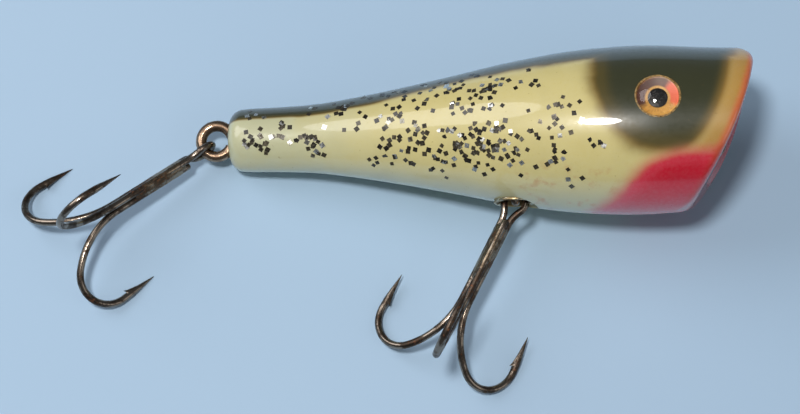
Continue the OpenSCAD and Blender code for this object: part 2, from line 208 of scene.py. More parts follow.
def lacquered_wood():
    finish, tree, shader = new_finish("lacquered_wood")
    place = lure_place(tree)
    parts = add(tree, "ShaderNodeSeparateXYZ", {"Vector": place}).outputs
    x, y = parts["X"], parts["Y"]
    side = maths(tree, "ABSOLUTE", parts["Z"])
    radius = maths(tree, "SQRT", maths(
        tree, "ADD", maths(tree, "MULTIPLY", y, y), maths(tree, "MULTIPLY", side, side)))
    girth = maths(tree, "MULTIPLY", maths(tree, "ARCTAN2", y, side), math.degrees(1))
    drift = maths(tree, "SUBTRACT", cloud(tree, place, 0.16, 3.0), 0.5)
    speckle = maths(tree, "SUBTRACT", cloud(tree, place, 1.9, 3.0, 0.65), 0.5)
    ahead = maths(tree, "SUBTRACT", x, MOUTH_X)
    up_face = maths(tree, "ADD", maths(tree, "MULTIPLY", ahead, math.sin(MOUTH_SLOPE)),
                    maths(tree, "MULTIPLY", y, math.cos(MOUTH_SLOPE)))
    bulge = maths(tree, "SUBTRACT", MOUTH_BULGE, maths(
        tree, "MULTIPLY", maths(tree, "MULTIPLY", up_face, up_face), 0.5 / FACE_R))
    to_rim = maths(tree, "SUBTRACT",
                   maths(tree, "ADD", maths(tree, "MULTIPLY", y, math.sin(MOUTH_SLOPE)), bulge),
                   maths(tree, "MULTIPLY", ahead, math.cos(MOUTH_SLOPE)))

    # Cream ground: warm on the flank, greener and paler at the tail, almost white under the belly
    ground = tint(tree, fade(tree, x, 4.0, 30.0), shade(204, 204, 166), shade(222, 208, 142))
    ground = tint(tree, fade(tree, girth, -40.5, -72.5), ground, shade(206, 202, 162))
    ground = tint(tree, fade(tree, drift, -0.02, 0.22, 0.0, 0.3), ground, shade(198, 182, 112))
    stain = maths(tree, "MULTIPLY", fade(tree, cloud(tree, place, 0.42, 4.0, 0.6), 0.5, 0.72),
                  maths(tree, "MULTIPLY", fade(tree, x, 38.0, 47.0),
                        maths(tree, "MULTIPLY", fade(tree, girth, -28.5, -44.5),
                              fade(tree, x, 60.0, 53.0))))
    ground = tint(tree, maths(tree, "MULTIPLY", stain, 0.6), ground, shade(196, 128, 72))

    # Dark olive: a narrow band down the back and a rounded patch over the head
    rise = maths(tree, "ADD", maths(tree, "DIVIDE", y, radius),
                 maths(tree, "MULTIPLY", drift, 0.12))
    back_low = fade(tree, x, 5.0, 36.0, 0.40, 0.64)
    back = fade(tree, rise, back_low, maths(tree, "ADD", back_low, 0.24))
    along = maths(tree, "DIVIDE", maths(tree, "SUBTRACT", x, 63.6), 9.6)
    down = maths(tree, "DIVIDE", maths(tree, "MINIMUM", maths(tree, "SUBTRACT", girth, 27.5), 0.0),
                 50.0)
    spread = maths(tree, "SQRT", maths(tree, "ADD", maths(tree, "MULTIPLY", along, along),
                                       maths(tree, "MULTIPLY", down, down)))
    head = fade(tree, maths(tree, "ADD", spread, maths(tree, "MULTIPLY", drift, 0.2)), 1.38, 0.66)
    dark = maths(tree, "MULTIPLY", maths(tree, "MAXIMUM", back, head),
                 fade(tree, maths(tree, "ADD", to_rim, maths(tree, "MULTIPLY", drift, 1.2)),
                      0.6, 5.6))
    olive = ramp(tree, dark, [(0.0, shade(168, 140, 70)), (0.3, shade(128, 102, 40)),
                              (0.6, shade(84, 74, 32)), (1.0, shade(56, 58, 34))])
    colour = tint(tree, fade(tree, dark, 0.0, 0.5), ground, olive)

    # Golden band along the mouth, then a pink edge
    gold = fade(tree, to_rim, 5.0, 2.2)
    colour = tint(tree, maths(tree, "MULTIPLY", gold, maths(tree, "SUBTRACT", 1.0, dark)),
                  colour, shade(188, 144, 70))
    edge = fade(tree, maths(tree, "ADD", to_rim, drift), 1.5, 0.3)

    # Crimson throat with a soft salmon edge, carried across the belly
    start = maths(tree, "ADD", 53.2, maths(tree, "MULTIPLY", maths(tree, "ADD", girth, 85.5), 0.15))
    forward = maths(tree, "SUBTRACT", x, start)
    throat = maths(tree, "MULTIPLY",
                   fade(tree, maths(tree, "ADD", forward, maths(tree, "MULTIPLY", drift, 3.0)),
                        -4.4, 4.4),
                   fade(tree, maths(tree, "ADD", girth, maths(tree, "MULTIPLY", drift, 9.0)),
                        -15.5, -41.0))
    red = ramp(tree, throat, [(0.0, shade(214, 160, 112)), (0.35, shade(216, 116, 96)),
                              (0.7, shade(216, 52, 70)), (1.0, shade(206, 22, 46))])
    colour = tint(tree, fade(tree, throat, 0.0, 0.6), colour, red)
    colour = tint(tree, edge, colour, tint(tree, throat, shade(216, 112, 70), shade(196, 34, 40)))

    # Red inside the mouth
    inside = maths(tree, "MULTIPLY", fade(tree, radius, 11.2, 10.5), fade(tree, x, 64.4, 65.4))
    colour = tint(tree, inside, colour, shade(190, 30, 34))

    # Old specks, handling grime and a faint amber in the lacquer
    grime = fade(tree, speckle, 0.16, 0.26)
    colour = tint(tree, maths(tree, "MULTIPLY", grime, 0.35), colour, shade(110, 84, 44))
    age = add(tree, "ShaderNodeHueSaturation", {
        "Color": colour, "Value": fade(tree, drift, -0.25, 0.25, 0.94, 1.05),
        "Saturation": fade(tree, speckle, -0.3, 0.3, 0.97, 1.03)}).outputs["Color"]
    tree.links.new(age, shader.inputs["Base Color"])

    rough = maths(tree, "ADD", 0.34, maths(tree, "MULTIPLY", speckle, 0.25))
    tree.links.new(maths(tree, "ADD", rough, maths(tree, "MULTIPLY", inside, 0.1)),
                   shader.inputs["Roughness"])
    turned = add(tree, "ShaderNodeMapping", {"Vector": place, "Scale": (0.05, 0.55, 0.55)})
    grain = cloud(tree, turned.outputs["Vector"], 1.0, 3.0)
    height = maths(tree, "ADD", maths(tree, "MULTIPLY", grain, 0.6),
                   maths(tree, "MULTIPLY", speckle, 0.12))
    bump = add(tree, "ShaderNodeBump", {"Strength": 0.25, "Distance": 0.00008, "Height": height})
    tree.links.new(bump.outputs["Normal"], shader.inputs["Normal"])
    shader.inputs["IOR"].default_value = 1.5
    shader.inputs["Coat Weight"].default_value = 1.0
    shader.inputs["Coat Roughness"].default_value = 0.045
    shader.inputs["Coat IOR"].default_value = 1.52
    return finish


def mouth_point(ahead, reach, way):
    """A point of the mouth, ahead along its axis, reach away from it in direction way."""
    y, z = reach * math.cos(way), reach * math.sin(way)
    return Vector((MOUTH_X + ahead * math.cos(MOUTH_SLOPE) + y * math.sin(MOUTH_SLOPE),
                   y * math.cos(MOUTH_SLOPE) - ahead * math.sin(MOUTH_SLOPE), z))


def face_x(y):
    """How far forward the sawn face comes at height y: a wide arc, rounded at lip and chin."""
    for line, r, way in ((LIP_LINE, LIP_ROUND, 1), (CHIN_LINE, CHIN_ROUND, -1)):
        mid = line - way * r
        mid_x = FACE_MIDDLE[0] + math.sqrt((FACE_R - r) ** 2 - (mid - FACE_MIDDLE[1]) ** 2)
        meet = mid + r * (mid - FACE_MIDDLE[1]) / (FACE_R - r)
        if way * (y - meet) > 0:
            return mid_x + math.sqrt(max(r ** 2 - (y - mid) ** 2, 0.0))
    return FACE_MIDDLE[0] + math.sqrt(FACE_R ** 2 - (y - FACE_MIDDLE[1]) ** 2)


def leaning(start, way):
    """A point of the blank's rings, which lean over until the last one lies in the sawn face."""
    share = max(0.0, (start - SKEW_FROM) / (MOUTH_X - SKEW_FROM)) ** 2
    x = start
    for _ in range(20):
        x = start + share * (face_x(body_radius(x) * math.cos(way)) - MOUTH_X)
    r = body_radius(x)
    return Vector((x, r * math.cos(way), r * math.sin(way)))


def rounded(before, corner, after, steps):
    """Points that round off a corner, without the first."""
    return [before * (1 - t) ** 2 + corner * 2 * t * (1 - t) + after * t * t
            for t in (k / steps for k in range(1, steps + 1))]


def mouth_line(way):
    """Points from the last ring of the blank, round the rim, over the face and into the dish."""
    dish_r = (MOUTH_R ** 2 + MOUTH_DEPTH ** 2) / (2 * MOUTH_DEPTH)
    dish_middle = dish_r - MOUTH_DEPTH + MOUTH_BULGE
    rim = leaning(MOUTH_X, way)
    turn = math.atan2(rim.z, (rim.x - MOUTH_X) * math.sin(MOUTH_SLOPE)
                      + rim.y * math.cos(MOUTH_SLOPE))
    reach = MOUTH_R
    for _ in range(20):
        ahead = math.sqrt(FACE_R ** 2 - (reach * math.cos(turn)) ** 2) - FACE_R + MOUTH_BULGE
        reach = math.sqrt(dish_r ** 2 - (dish_middle - ahead) ** 2)
    lip = mouth_point(ahead, reach, turn)

    def on_face(share):
        p = rim.lerp(lip, share)
        return Vector((face_x(p.y), p.y, p.z))

    def in_dish(part):
        return mouth_point(dish_middle - math.sqrt(dish_r ** 2 - (reach * part) ** 2),
                           reach * part, turn)

    wide = (lip - rim).length
    first, last = min(RIM_ROUND / wide, 0.72), 1 - 0.2 / wide
    line = rounded(leaning(MOUTH_X - RIM_ROUND, way), rim, on_face(first), 8)
    line += [on_face(first + (last - first) * k / 3) for k in (1, 2, 3)]
    line += rounded(on_face(last), lip, in_dish(1 - 0.2 / reach), 3)
    return line + [in_dish(k / 15) for k in range(14, 0, -1)]


def in_order(verts):
    """The points of one ring, sorted round its middle."""
    middle = sum((v.co for v in verts), Vector()) / len(verts)
    return sorted(verts, key=lambda v: (math.atan2(v.co.z - middle.z, v.co.y - middle.y)
                                        - math.pi - 0.017) % math.tau)


def turned_body():
    bm = bmesh.new()
    end = MOUTH_X - RIM_ROUND
    line = [p for p in outline if p[0] < end - 0.2] + [(end, body_radius(end))]
    rail = [bm.verts.new((a, r, 0)) for a, r in line]
    edges = [bm.edges.new(pair) for pair in zip(rail, rail[1:])]
    bmesh.ops.spin(bm, geom=rail + edges, cent=(0, 0, 0), axis=(1, 0, 0), dvec=(0, 0, 0),
                   angle=math.tau, steps=180, use_merge=True, use_duplicate=False)
    bmesh.ops.remove_doubles(bm, verts=bm.verts, dist=1e-4)
    open_edges = [e for e in bm.edges if e.is_boundary]
    ways = [math.atan2(v.co.z, v.co.y) for v in in_order({v for e in open_edges for v in e.verts})]
    for vert in bm.verts:
        if vert.co.x > SKEW_FROM:
            vert.co = leaning(vert.co.x, math.atan2(vert.co.z, vert.co.y))
    # The rim, the sawn face and the dish, ring by ring towards the middle
    for places in zip(*[mouth_line(way) for way in ways]):
        grown = bmesh.ops.extrude_edge_only(bm, edges=open_edges)["geom"]
        open_edges = [g for g in grown if isinstance(g, bmesh.types.BMEdge) and g.is_boundary]
        for vert, place in zip(in_order({v for e in open_edges for v in e.verts}), places):
            vert.co = place
    bmesh.ops.contextual_create(bm, geom=open_edges)
    return bm


def cutter(place, radius, length):
    """A closed rod for drilling, with its foot at place."""
    bm = bmesh.new()
    bmesh.ops.create_cone(bm, cap_ends=True, segments=64, radius1=radius, radius2=radius,
                          depth=length, matrix=place @ Matrix.Translation((0, 0, length / 2)))
    bmesh.ops.recalc_face_normals(bm, faces=bm.faces)
    bmesh.ops.transform(bm, matrix=lay_down, verts=bm.verts)
    mesh = bpy.data.meshes.new("cutter")
    bm.to_mesh(mesh)
    bm.free()
    tool = bpy.data.objects.new("cutter", mesh)
    bpy.context.scene.collection.objects.link(tool)
    return tool


EYE_X = 62.2
EYE_ANGLE = math.radians(5.5)
EYE_LIFT = 1.3
SOCKET_R = 3.25
BELLY_X = 41.7
CUP_TOP = 10.3
TIE_SINK, TIE_DROP = 1.2, 2.8


def eye_home(side):
    """The eye's own frame, +Z outwards from the lure's axis; the left one is a mirror image."""
    return (Matrix.Scale(side, 4, (0, 0, 1)) @ Matrix.Translation((EYE_X, 0, 0))
            @ Matrix.Rotation(-EYE_ANGLE, 4, "X") @ Matrix.Translation((0, EYE_LIFT, 0)))


belly_home = Matrix.Translation((BELLY_X, 0, 0)) @ Matrix.Rotation(math.radians(90), 4, "X")
mouth_home = Matrix.Translation((MOUTH_X, 0, 0)) @ Matrix.Rotation(-MOUTH_SLOPE, 4, "Z")

lacquer = lacquered_wood()
body = finished(turned_body(), "lacquered_body", Matrix(), lacquer, "lure",
                ["wood_body"])
drillings = [
    (eye_home(1) @ Matrix.Translation((0, 0, 9)), SOCKET_R, 6.0),
    (eye_home(-1) @ Matrix.Translation((0, 0, 9)), SOCKET_R, 6.0),
    (belly_home @ Matrix.Translation((0, 0, 5.55)), 2.95, 6.0),
    (belly_home @ Matrix.Translation((0, 0, 9.95)), 3.2, 2.0),
    (Matrix.Translation((TAIL_RING_X, 0, -0.85)), 3.15, 1.7),
    (mouth_home @ Matrix.Translation((-TIE_SINK, -TIE_DROP, -0.7)), 2.6, 1.4),
]
for place, radius, length in drillings:
    tool = cutter(place, radius, length)
    cut = body.modifiers.new("drilled", "BOOLEAN")
    cut.operation = "DIFFERENCE"
    cut.solver = "EXACT"
    cut.object = tool
    bpy.context.view_layer.update()
    drilled = bpy.data.meshes.new_from_object(
        body.evaluated_get(bpy.context.evaluated_depsgraph_get()))
    body.modifiers.clear()
    body.data = drilled
    bpy.data.objects.remove(tool)
body.data.name = "lacquered_body"
body.data.set_sharp_from_angle(angle=math.radians(35))


# ---- Glitter flakes
# Small squares of bright foil, shaken on to the wet paint and sealed under the lacquer. Most of
# them are painted dark, a painted reflection of a dark room in the foil; the rest keep the foil's
# bright silver. They lie in drifts on both flanks, from the tail to the shoulder.
FLAKE_SIZE = 0.64
FLAKE_THICK = 0.03


def glitter_foil():
    finish, tree, shader = new_finish("glitter_foil")
    tone = add(tree, "ShaderNodeAttribute", attribute_name="tone").outputs["Fac"]
    blotch = cloud(tree, lure_place(tree), 2.4, 3.0)
    mixed = maths(tree, "ADD", tone, maths(tree, "MULTIPLY",
                                           maths(tree, "SUBTRACT", blotch, 0.5), 0.3))
    # Low tones are painted reflection, the foil darkened as if it mirrored a dark room; high tones
    # are its own bright silver.
    colour = ramp(tree, mixed, [(0.0, shade(34, 30, 22)), (0.6, shade(84, 76, 58)),
                                (0.8, shade(170, 166, 152)), (1.0, shade(244, 244, 240))])
    tree.links.new(colour, shader.inputs["Base Color"])
    tree.links.new(fade(tree, blotch, 0.3, 0.7, 0.2, 0.42), shader.inputs["Roughness"])
    tree.links.new(fade(tree, mixed, 0.45, 0.9, 0.35, 1.0), shader.inputs["Metallic"])
    wrinkle = add(tree, "ShaderNodeBump", {"Strength": 0.3, "Distance": 0.00002,
                                           "Height": cloud(tree, lure_place(tree), 6.0)})
    tree.links.new(wrinkle.outputs["Normal"], shader.inputs["Normal"])
    shader.inputs["Coat Weight"].default_value = 0.6
    shader.inputs["Coat Roughness"].default_value = 0.08
    return finish


def scatter_flakes(side, seed):
    """Squares laid flat on one flank; side is 1 for the right flank and -1 for the left."""
    draw = random.Random(seed)
    spots = []
    while len(spots) < 370:
        x = draw.choices([draw.uniform(2.5, 14), draw.uniform(12, 24), draw.gauss(34, 7.5),
                          draw.uniform(46, 56)], [9, 14, 72, 5])[0]
        rise = draw.uniform(-0.62, 0.93) if x < 46 else draw.uniform(-0.6, 0.4)
        drift = draw.choices([1, draw.randint(2, 5)], [45, 55])[0]
        for _ in range(drift):
            spots.append((x + draw.gauss(0, 1.0) * (drift > 1),
                          rise + draw.gauss(0, 0.075) * (drift > 1)))
    bm = bmesh.new()
    tone = bm.faces.layers.float.new("tone")
    for x, rise in spots:
        if not 2.6 < x < 56 or not -0.75 < rise < 0.96:
            continue
        girth = math.asin(rise) - math.radians(10) * min(1.0, (x / 12))
        r = body_radius(x)
        slope = (body_radius(x + 0.3) - body_radius(x - 0.3)) / 0.6
        out = Vector((-slope, math.sin(girth), side * math.cos(girth))).normalized()
        ahead = Vector((1, 0, 0)) - out * out.x
        ahead.normalize()
        seat = Matrix((ahead, out.cross(ahead), out)).transposed().to_4x4()
        at = Vector((x, r * math.sin(girth), side * r * math.cos(girth)))
        size = FLAKE_SIZE * draw.uniform(0.82, 1.12)
        grip = (Matrix.Translation(at + out * 0.012) @ seat
                @ Matrix.Rotation(draw.gauss(math.pi / 4, 0.55), 4, "Z")
                @ Matrix.Rotation(draw.gauss(0, 0.05), 4, "X")
                @ Matrix.Rotation(draw.gauss(0, 0.05), 4, "Y")
                @ Matrix.Diagonal((size, size, FLAKE_THICK, 1)))
        # Most flakes get a low tone, a painted dark reflection; a few keep the foil's bright
        # silver.
        painted_reflection_tone = draw.choices([draw.uniform(0.0, 0.45), draw.uniform(0.5, 0.75),
                              draw.uniform(0.85, 1.0)], [68, 14, 18])[0]
        if (lie @ (at / 1000)).z < 0.0004:
            continue
        made = bmesh.ops.create_cube(bm, size=1.0, matrix=grip)
        for face in {f for v in made["verts"] for f in v.link_faces}:
            face[tone] = painted_reflection_tone
    return bm


foil = glitter_foil()
for side, name, seed in ((1, "right_flakes", 11), (-1, "left_flakes", 12)):
    finished(scatter_flakes(side, seed), name, Matrix(), foil, "lure")


# ---- Glass eyes
# Stock wired eyes: a domed glass with amber enamel and a black pupil fused on its flat back. Each
# is pushed into its drilled socket on a bed of putty, which stands round it as a rough gold ring.
GLASS_R = 2.93
DOME_R = 5.0
DOME_MIDDLE = 7.5
EYE_BACK = 10.2
PUPIL_R = 1.2


def spun(bm, line, steps):
    """Turns a line of (radius, height) points round the Z axis."""
    rail = [bm.verts.new((r, 0, h)) for r, h in line]
    edges = [bm.edges.new(pair) for pair in zip(rail, rail[1:])]
    bmesh.ops.spin(bm, geom=rail + edges, cent=(0, 0, 0), axis=(0, 0, 1), dvec=(0, 0, 0),
                   angle=math.tau, steps=steps, use_merge=True, use_duplicate=False)
    bmesh.ops.remove_doubles(bm, verts=bm.verts, dist=1e-4)


def eye_glass_shape():
    bm = bmesh.new()
    dome = [(DOME_R * math.sin(a), DOME_MIDDLE + DOME_R * math.cos(a))
            for a in [math.asin(GLASS_R / DOME_R) * k / 20 for k in range(20)]]
    edge = DOME_MIDDLE + math.sqrt(DOME_R ** 2 - GLASS_R ** 2)
    dome += [(GLASS_R - 0.06, edge + 0.03), (GLASS_R - 0.012, edge - 0.02), (GLASS_R, edge - 0.1),
             (GLASS_R, EYE_BACK + 0.15), (GLASS_R - 0.1, EYE_BACK), (0, EYE_BACK)]
    spun(bm, dome, 96)
    return bm


def eye_disc_shape(radius, low, high, crown=0.0):
    bm = bmesh.new()
    line = [(0, high + crown)]
    line += [(radius * k / 6, high + crown * (1 - (k / 6) ** 2)) for k in range(1, 6)]
    line += [(radius - 0.03, high), (radius, high - 0.03), (radius, low), (0, low)]
    spun(bm, line, 72)
    return bm


def eye_bedding_shape(seed):
    """A ring of putty, its top following the round of the body, ragged with old paint."""
    bm = bmesh.new()
    spun(bm, [(GLASS_R + 0.02, 9.95), (GLASS_R + 0.02, 11.62), (GLASS_R + 0.05, 11.95),
              (GLASS_R + 0.13, 12.06), (GLASS_R + 0.24, 12.06), (GLASS_R + 0.34, 11.98),
              (GLASS_R + 0.42, 11.86), (SOCKET_R - 0.02, 11.6), (SOCKET_R - 0.02, 9.0),
              (0.42, 9.0), (0.42, 9.95)], 160)
    bmesh.ops.contextual_create(bm, geom=[e for e in bm.edges if e.is_boundary])
    for vert in bm.verts:
        reach = math.hypot(vert.co.x, vert.co.y)
        if vert.co.z < 11.5 or reach < 1:
            continue
        bend = math.sqrt(body_radius(EYE_X + vert.co.x) ** 2
                         - (vert.co.y + EYE_LIFT) ** 2) - BODY_R
        rag = noise.noise(Vector((vert.co.x * 2.6, vert.co.y * 2.6, seed * 7.3)))
        fine = noise.noise(Vector((vert.co.x * 7.0, vert.co.y * 7.0, seed * 3.1)))
        vert.co.z += bend + 0.19 + 0.05 * rag + 0.03 * fine
        if reach > GLASS_R + 0.1:
            push = 1 + 0.022 * rag + 0.014 * fine
            vert.co.x *= push
            vert.co.y *= push
    return bm


def clear_glass():
    finish, tree, shader = new_finish("eye_glass")
    place = lure_place(tree)
    smear = cloud(tree, place, 0.9, 3.0)
    tree.links.new(fade(tree, smear, 0.35, 0.75, 0.0, 0.05), shader.inputs["Roughness"])
    tree.links.new(tint(tree, smear, (1.0, 0.96, 0.88, 1), (1.0, 0.93, 0.8, 1)),
                   shader.inputs["Base Color"])
    seeds = add(tree, "ShaderNodeBump", {"Strength": 0.12, "Distance": 0.00002,
                                         "Height": cloud(tree, place, 1.4, 2.0)})
    tree.links.new(seeds.outputs["Normal"], shader.inputs["Normal"])
    shader.inputs["Transmission Weight"].default_value = 1.0
    shader.inputs["IOR"].default_value = 1.5
    return finish


def amber_enamel_and_painted_shade(side):
    """Amber on the back of the glass: thin gold below the pupil, a red-brown crescent of painted
    shade above.
    """
    finish, tree, shader = new_finish("eye_paint_right" if side > 0 else "eye_paint_left")
    home = (Matrix.Translation((EYE_X, 0, 0)) @ Matrix.Rotation(-EYE_ANGLE * side, 4, "X")
            @ Matrix.Translation((0, EYE_LIFT, 0)))
    place = lure_place(tree, home)
    parts = add(tree, "ShaderNodeSeparateXYZ", {"Vector": place}).outputs
    x, y = parts["X"], parts["Y"]
    reach = maths(tree, "SQRT", maths(tree, "ADD", maths(tree, "MULTIPLY", x, x),
                                      maths(tree, "MULTIPLY", y, y)))
    streak = add(tree, "ShaderNodeCombineXYZ", {
        "X": maths(tree, "DIVIDE", x, reach), "Y": maths(tree, "DIVIDE", y, reach),
        "Z": maths(tree, "MULTIPLY", reach, 0.25)}).outputs["Vector"]
    rays = cloud(tree, streak, 7.0, 4.0, 0.6)

    def facing(degrees, low, high):
        turn = math.radians(degrees)
        along = maths(tree, "DIVIDE", maths(
            tree, "ADD", maths(tree, "MULTIPLY", x, math.cos(turn)),
            maths(tree, "MULTIPLY", y, math.sin(turn))), reach)
        return fade(tree, along, low, high)

    outer = fade(tree, maths(tree, "ADD", reach, maths(tree, "MULTIPLY", rays, 0.16)), 1.5, 1.72)
    colour = ramp(tree, rays, [(0.25, shade(150, 104, 36)), (0.55, shade(188, 140, 58)),
                               (0.8, shade(216, 176, 92))])
    # Painted shade: a dark red-brown crescent above the pupil stands in for the socket's shadow
    # seen through the glass.
    colour = tint(tree, maths(tree, "MULTIPLY", facing(118, -0.2, 0.25), outer),
                  colour, tint(tree, rays, shade(40, 14, 10), shade(92, 40, 28)))
    colour = tint(tree, maths(tree, "MULTIPLY", facing(16, 0.68, 0.9), outer),
                  colour, tint(tree, rays, shade(190, 52, 12), shade(214, 92, 40)))
    colour = tint(tree, fade(tree, reach, 2.55, 2.75), colour, shade(150, 112, 74))
    tree.links.new(colour, shader.inputs["Base Color"])
    tree.links.new(fade(tree, rays, 0.2, 0.8, 0.3, 0.5), shader.inputs["Roughness"])
    bump = add(tree, "ShaderNodeBump", {"Strength": 0.3, "Distance": 0.00003, "Height": rays})
    tree.links.new(bump.outputs["Normal"], shader.inputs["Normal"])
    return finish


def black_enamel():
    finish, tree, shader = new_finish("pupil_paint")
    mottle = cloud(tree, lure_place(tree), 3.0, 2.0)
    tree.links.new(tint(tree, mottle, shade(6, 6, 9), shade(22, 20, 24)),
                   shader.inputs["Base Color"])
    tree.links.new(fade(tree, mottle, 0.3, 0.7, 0.12, 0.3), shader.inputs["Roughness"])
    return finish


def gold_putty():
    finish, tree, shader = new_finish("putty")
    place = lure_place(tree)
    flecks = cloud(tree, place, 2.3, 4.0, 0.7)
    colour = ramp(tree, flecks, [(0.3, shade(70, 56, 26)), (0.46, shade(150, 116, 62)),
                                 (0.6, shade(196, 162, 104)), (0.75, shade(222, 198, 150))])
    tree.links.new(colour, shader.inputs["Base Color"])
    tree.links.new(fade(tree, flecks, 0.3, 0.7, 0.55, 0.3), shader.inputs["Roughness"])
    bump = add(tree, "ShaderNodeBump", {"Strength": 0.7, "Distance": 0.00008, "Height": flecks})
    tree.links.new(bump.outputs["Normal"], shader.inputs["Normal"])
    shader.inputs["Coat Weight"].default_value = 0.7
    shader.inputs["Coat Roughness"].default_value = 0.1
    return finish


glass, pupil_black, putty = clear_glass(), black_enamel(), gold_putty()
for side, hand in ((1, "right"), (-1, "left")):
    home = eye_home(side)
    finished(eye_bedding_shape(side), f"{hand}_putty_ring", home, putty, "lure",
             [f"{hand}_eye_bedding"])
    finished(eye_disc_shape(GLASS_R - 0.02, EYE_BACK - 0.25, EYE_BACK + 0.03),
             f"{hand}_iris_enamel", home, amber_enamel_and_painted_shade(side), "lure",
             [f"{hand}_eye_iris"])
    finished(eye_disc_shape(PUPIL_R, EYE_BACK, EYE_BACK + 0.2, crown=0.08),
             f"{hand}_pupil_bead", home, pupil_black, "lure",
             [f"{hand}_eye_pupil"])
    lens = finished(eye_glass_shape(), f"{hand}_glass_dome", home, glass, "lure",
                    [f"{hand}_eye_glass"])
    # The lamps' light has to reach the enamel through the glass
    lens.visible_shadow = False


# ---- Bronze screw eyes: line tie, tail ring and belly ring
# Bronze wire bent round into a ring, its shank threaded and screwed straight into the wood until
# the ring sits half in the body. The wire is tarnished brown where nothing rubs it.
TIE_RING_R, TIE_WIRE_R = 1.9, 0.65
TAIL_RING_R, TAIL_WIRE_R = 2.3, 0.8
BELLY_RING_R, BELLY_WIRE_R = 1.75, 0.65
HANG_DROP = 10.0
THREAD_PITCH = 0.8


def swept(bm, stations, sides):
    """Draws one wire: a circle carried along stations of (middle, way, inner side, radius)."""
    mark = bm.verts.layers.float_vector.get("wire") or bm.verts.layers.float_vector.new("wire")
    middle, way, inner, radius = stations[0]
    seat = Matrix((inner, way.cross(inner), way)).transposed().to_4x4()
    ring = bmesh.ops.create_circle(bm, segments=sides, radius=radius, cap_ends=False,
                                   matrix=Matrix.Translation(middle) @ seat)["verts"]
    rings, run = [], 0.0
    for number, (middle, way, inner, radius) in enumerate(stations):
        if number:
            edges = {e for v in ring for e in v.link_edges
                     if e.other_vert(v) in ring and e.is_boundary or not e.link_faces}
            made = bmesh.ops.extrude_edge_only(bm, edges=list(edges))["geom"]
            follow = {}
            for vert in [g for g in made if isinstance(g, bmesh.types.BMVert)]:
                for edge in vert.link_edges:
                    if edge.other_vert(vert) in ring:
                        follow[edge.other_vert(vert)] = vert
            ring = [follow[v] for v in ring]
            run += (middle - stations[number - 1][0]).length
        for k, vert in enumerate(ring):
            a = math.tau * k / sides
            vert.co = middle + radius * (math.cos(a) * inner + math.sin(a) * way.cross(inner))
            vert[mark] = (math.cos(a), math.sin(a), run)
        rings.append(ring)
    for loop in (rings[0], rings[-1]):
        bm.faces.new(loop)
    return rings


def bent(start, end, pull, steps):
    """Stations of a smooth bend between two others, without its ends."""
    made = []
    a, b = start[0], end[0]
    p, q = a + start[1] * pull, b - end[1] * pull
    for k in range(1, steps):
        t = k / steps
        middle = a * (1 - t) ** 3 + p * 3 * t * (1 - t) ** 2 + q * 3 * t * t * (1 - t) + b * t ** 3
        way = ((p - a) * (1 - t) ** 2 + (q - p) * 2 * t * (1 - t) + (b - q) * t * t).normalized()
        inner = start[2] * (1 - t) + end[2] * t
        inner = (inner - way * inner.dot(way)).normalized()
        made.append((middle, way, inner, start[3] * (1 - t) + end[3] * t))
    return made


def screw_eye_shape(ring_r, wire_r, plain, ridges):
    """Ring round the origin in the XY plane, its threaded shank along +X."""
    bm = bmesh.new()
    out, ahead, side = Vector((1, 0, 0)), Vector((-1, 0, 0)), Vector((0, 1, 0))
    thread_from = ring_r + plain
    tip = thread_from + ridges * THREAD_PITCH + 3 * (wire_r - 0.22)
    stations = [(out * tip, ahead, side, 0.03)]
    for k in range(ridges * 2, -1, -1):
        depth = 0.22 if k % 2 or k == ridges * 2 else 0.0
        stations.append((out * (thread_from + k * THREAD_PITCH / 2), ahead, side, wire_r - depth))
    neck = (out * (ring_r + 1.0), ahead, side, wire_r)
    ring = []
    for k in range(61):
        a = math.radians(42 + k * (336 - 42) / 60)
        radial = Vector((math.cos(a), math.sin(a), 0))
        ring.append((radial * ring_r, Vector((-math.sin(a), math.cos(a), 0)), radial, wire_r))
    stations += [neck] + bent(neck, ring[0], 0.8, 8) + ring
    end = ring[-1]
    stations.append((end[0] + end[1] * 0.08, end[1], end[2], wire_r * 0.8))
    swept(bm, stations, 28)
    return bm


def metal_wear():
    """Shared by every metal: dull patches, rust or verdigris spots, and a fine surface height."""
    group = bpy.data.node_groups.new("metal_wear", "ShaderNodeTree")
    group.interface.new_socket("Place", in_out="INPUT", socket_type="NodeSocketVector")
    group.interface.new_socket("Spot level", in_out="INPUT", socket_type="NodeSocketFloat")
    for name in ("Dull", "Spots", "Height"):
        group.interface.new_socket(name, in_out="OUTPUT", socket_type="NodeSocketFloat")
    given = group.nodes.new("NodeGroupInput").outputs
    result = group.nodes.new("NodeGroupOutput")
    broad = cloud(group, given["Place"], 0.35, 4.0, 0.6)
    fine = cloud(group, given["Place"], 2.6, 4.0, 0.65)
    pits = cloud(group, given["Place"], 5.5, 2.0)
    dull = fade(group, maths(group, "ADD", broad, maths(group, "MULTIPLY", fine, 0.35)),
                0.5, 0.85)
    spots = fade(group, maths(group, "ADD", maths(group, "MULTIPLY", broad, 0.55),
                              maths(group, "MULTIPLY", fine, 0.6)),
                 given["Spot level"], maths(group, "ADD", given["Spot level"], 0.1))
    height = maths(group, "ADD", maths(group, "MULTIPLY", pits, 0.3),
                   maths(group, "MULTIPLY", spots, 0.7))
    for name, value in (("Dull", dull), ("Spots", spots), ("Height", height)):
        group.links.new(value, result.inputs[name])
    return group


wear = metal_wear()


